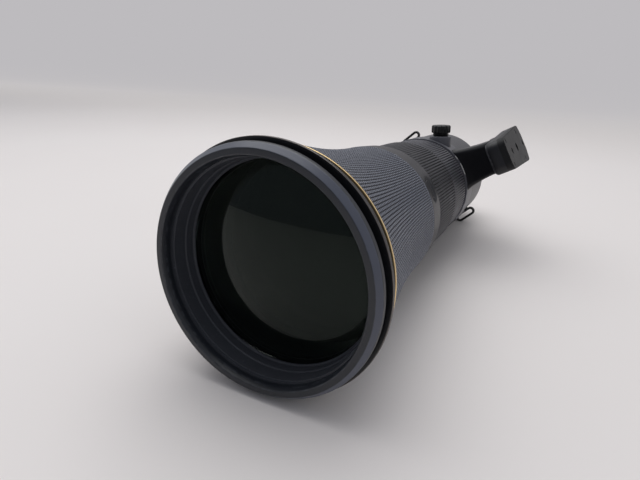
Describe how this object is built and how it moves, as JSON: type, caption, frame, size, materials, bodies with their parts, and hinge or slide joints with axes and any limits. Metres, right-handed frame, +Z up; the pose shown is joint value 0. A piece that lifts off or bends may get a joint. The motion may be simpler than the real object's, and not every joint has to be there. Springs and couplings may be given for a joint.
{
  "type": "super telephoto lens",
  "caption": "Large grey telephoto lens with a flared front grip, ribbed focusing rings, a turning collar with a tripod foot, and a bayonet mount.",
  "frame": {"origin": "centre of the rear mount flange face, on the optical axis", "axes": "+Y along the optical axis from the front glass to the camera, +Z up as the lens lies on a table, +X to the right seen from the front"},
  "size_m": [0.1875, 0.4662, 0.16],
  "materials": {
    "anodised_ring": "satin grey-blue anodised aluminium",
    "black_metal": "matt black coated metal",
    "grey_paint": "fine textured grey paint on magnesium",
    "light_grey_paint": "satin light grey paint on magnesium",
    "gold": "polished gold anodised ring",
    "grip_rubber": "finely knurled grey rubber",
    "rib_rubber": "ribbed dark grey rubber",
    "sleeve_metal": "turned bright edge",
    "black_plastic": "matt black moulding",
    "foot_black": "black coated cast magnesium",
    "foot_sole": "worn grey-black plate",
    "screw_steel": "small steel screws",
    "black_screw": "blackened steel screws",
    "glass": "coated optical glass",
    "mount_chrome": "chromed bayonet",
    "contact_gold": "gold plated contacts",
    "seal_rubber": "soft seal",
    "board": "circuit board",
    "steel_rod": "ground rods",
    "motor_metal": "motor yokes",
    "blade_black": "matt black blades"
  },
  "bodies": {
    "lens_barrel": {"front_ring": "anodised_ring", "hood_flange": "black_metal", "front_barrel": "light_grey_paint", "gold_ring": "gold", "front_grip": "grip_rubber", "button_ring": "light_grey_paint", "main_barrel": "grey_paint", "tail_barrel": "light_grey_paint", "strap_lugs": "black_metal", "switch_panel": "grey_paint", "mount_ring": "mount_chrome", "mount_screws": "screw_steel", "mount_gasket": "seal_rubber", "rear_baffle": "black_plastic", "contact_pins": "contact_gold", "front_retainer": "black_metal", "front_glass": "glass", "glass_cells": "black_metal", "second_glass": "glass", "third_glass": "glass", "guide_rods": "steel_rod", "focus_motor": "motor_metal", "rear_glass": "glass", "circuit_board": "board", "iris_base": "black_metal"},
    "focus_ring": {"focus_ring": "sleeve_metal", "focus_rubber": "rib_rubber"},
    "control_ring": {"control_ring": "sleeve_metal", "control_rubber": "rib_rubber"},
    "collar": {"collar_ring": "light_grey_paint", "foot_arm": "foot_black", "foot_plate": "foot_black", "foot_sole": "foot_sole", "foot_screws": "black_screw"},
    "lock_knob": {"lock_knob": "black_plastic"},
    "fn_button_1": {"fn_button_1": "black_plastic"},
    "fn_button_2": {"fn_button_2": "black_plastic"},
    "fn_button_3": {"fn_button_3": "black_plastic"},
    "fn_button_4": {"fn_button_4": "black_plastic"},
    "focus_switch": {"focus_switch": "black_plastic"},
    "limit_switch": {"limit_switch": "black_plastic"},
    "steady_switch": {"steady_switch": "black_plastic"},
    "set_button": {"set_button": "black_plastic"},
    "filter_drawer": {"filter_drawer": "black_metal", "filter_glass": "glass"},
    "focus_group": {"focus_cell": "black_metal", "focus_glass": "glass"},
    "stab_frame": {"stab_frame": "black_metal"},
    "stab_carrier": {"stab_carrier": "black_metal", "stab_glass": "glass"},
    "iris_ring": {"iris_ring": "black_metal"},
    "iris_blade_1": {"iris_blade_1": "blade_black"},
    "iris_blade_2": {"iris_blade_2": "blade_black"},
    "iris_blade_3": {"iris_blade_3": "blade_black"},
    "iris_blade_4": {"iris_blade_4": "blade_black"},
    "iris_blade_5": {"iris_blade_5": "blade_black"},
    "iris_blade_6": {"iris_blade_6": "blade_black"},
    "iris_blade_7": {"iris_blade_7": "blade_black"},
    "iris_blade_8": {"iris_blade_8": "blade_black"},
    "iris_blade_9": {"iris_blade_9": "blade_black"}
  },
  "joints": [
    {"name": "focus_turn", "type": "hinge", "parent": "lens_barrel", "child": "focus_ring", "pos_m": [0, -0.2339, 0], "axis": [0, 1, 0], "continuous": true},
    {"name": "control_turn", "type": "hinge", "parent": "lens_barrel", "child": "control_ring", "pos_m": [0, -0.1718, 0], "axis": [0, 1, 0], "continuous": true},
    {"name": "collar_turn", "type": "hinge", "parent": "lens_barrel", "child": "collar", "pos_m": [0, -0.1266, 0], "axis": [0, 1, 0], "continuous": true},
    {"name": "knob_turn", "type": "hinge", "parent": "collar", "child": "lock_knob", "pos_m": [0.01593, -0.1266, 0.06092], "axis": [-0.0523, 0, 0.9986], "range_deg": [0, 450]},
    {"name": "fn_button_1_press", "type": "slide", "parent": "lens_barrel", "child": "fn_button_1", "axis": [-0.866, 0, -0.5], "range_m": [0, 0.0008], "stiffness_N_per_m": 600, "springref_m": -0.002},
    {"name": "fn_button_2_press", "type": "slide", "parent": "lens_barrel", "child": "fn_button_2", "axis": [0.5, 0, -0.866], "range_m": [0, 0.0008], "stiffness_N_per_m": 600, "springref_m": -0.002},
    {"name": "fn_button_3_press", "type": "slide", "parent": "lens_barrel", "child": "fn_button_3", "axis": [0.866, 0, 0.5], "range_m": [0, 0.0008], "stiffness_N_per_m": 600, "springref_m": -0.002},
    {"name": "fn_button_4_press", "type": "slide", "parent": "lens_barrel", "child": "fn_button_4", "axis": [-0.5, 0, 0.866], "range_m": [0, 0.0008], "stiffness_N_per_m": 600, "springref_m": -0.002},
    {"name": "set_button_press", "type": "slide", "parent": "lens_barrel", "child": "set_button", "axis": [-0.5, 0, 0.866], "range_m": [0, 0.0008], "stiffness_N_per_m": 400, "springref_m": -0.002},
    {"name": "focus_switch_slide", "type": "slide", "parent": "lens_barrel", "child": "focus_switch", "axis": [0, 1, 0], "range_m": [-0.0025, 0.0025]},
    {"name": "limit_switch_slide", "type": "slide", "parent": "lens_barrel", "child": "limit_switch", "axis": [0, 1, 0], "range_m": [-0.0025, 0.0025]},
    {"name": "steady_switch_slide", "type": "slide", "parent": "lens_barrel", "child": "steady_switch", "axis": [0, 1, 0], "range_m": [-0.0025, 0.0025]},
    {"name": "drawer_pull", "type": "slide", "parent": "lens_barrel", "child": "filter_drawer", "axis": [-1, 0, 0], "range_m": [0, 0.08]},
    {"name": "focus_travel", "type": "slide", "parent": "lens_barrel", "child": "focus_group", "axis": [0, 1, 0], "range_m": [-0.024, 0.024]},
    {"name": "steady_x", "type": "slide", "parent": "lens_barrel", "child": "stab_frame", "axis": [1, 0, 0], "range_m": [-0.0012, 0.0012]},
    {"name": "steady_z", "type": "slide", "parent": "stab_frame", "child": "stab_carrier", "axis": [0, 0, 1], "range_m": [-0.0012, 0.0012]},
    {"name": "iris_turn", "type": "hinge", "parent": "lens_barrel", "child": "iris_ring", "pos_m": [0, -0.0953, 0], "axis": [0, 1, 0], "range_deg": [0, 20]},
    {"name": "blade_1_turn", "type": "hinge", "parent": "lens_barrel", "child": "iris_blade_1", "pos_m": [0.0465, -0.1007, 0], "axis": [0, 1, 0], "range_deg": [0, 30]},
    {"name": "blade_2_turn", "type": "hinge", "parent": "lens_barrel", "child": "iris_blade_2", "pos_m": [0.03562, -0.1001, 0.02989], "axis": [0, 1, 0], "range_deg": [0, 30]},
    {"name": "blade_3_turn", "type": "hinge", "parent": "lens_barrel", "child": "iris_blade_3", "pos_m": [0.00808, -0.0995, 0.04579], "axis": [0, 1, 0], "range_deg": [0, 30]},
    {"name": "blade_4_turn", "type": "hinge", "parent": "lens_barrel", "child": "iris_blade_4", "pos_m": [-0.02325, -0.0989, 0.04027], "axis": [0, 1, 0], "range_deg": [0, 30]},
    {"name": "blade_5_turn", "type": "hinge", "parent": "lens_barrel", "child": "iris_blade_5", "pos_m": [-0.0437, -0.0983, 0.0159], "axis": [0, 1, 0], "range_deg": [0, 30]},
    {"name": "blade_6_turn", "type": "hinge", "parent": "lens_barrel", "child": "iris_blade_6", "pos_m": [-0.0437, -0.0977, -0.0159], "axis": [0, 1, 0], "range_deg": [0, 30]},
    {"name": "blade_7_turn", "type": "hinge", "parent": "lens_barrel", "child": "iris_blade_7", "pos_m": [-0.02325, -0.0971, -0.04027], "axis": [0, 1, 0], "range_deg": [0, 30]},
    {"name": "blade_8_turn", "type": "hinge", "parent": "lens_barrel", "child": "iris_blade_8", "pos_m": [0.00808, -0.0965, -0.04579], "axis": [0, 1, 0], "range_deg": [0, 30]},
    {"name": "blade_9_turn", "type": "hinge", "parent": "lens_barrel", "child": "iris_blade_9", "pos_m": [0.03562, -0.0959, -0.02989], "axis": [0, 1, 0], "range_deg": [0, 30]}
  ],
  "couplings": [
    {"joint": "blade_1_turn", "follows": "iris_turn", "ratio": 1.5},
    {"joint": "blade_2_turn", "follows": "iris_turn", "ratio": 1.5},
    {"joint": "blade_3_turn", "follows": "iris_turn", "ratio": 1.5},
    {"joint": "blade_4_turn", "follows": "iris_turn", "ratio": 1.5},
    {"joint": "blade_5_turn", "follows": "iris_turn", "ratio": 1.5},
    {"joint": "blade_6_turn", "follows": "iris_turn", "ratio": 1.5},
    {"joint": "blade_7_turn", "follows": "iris_turn", "ratio": 1.5},
    {"joint": "blade_8_turn", "follows": "iris_turn", "ratio": 1.5},
    {"joint": "blade_9_turn", "follows": "iris_turn", "ratio": 1.5}
  ]
}
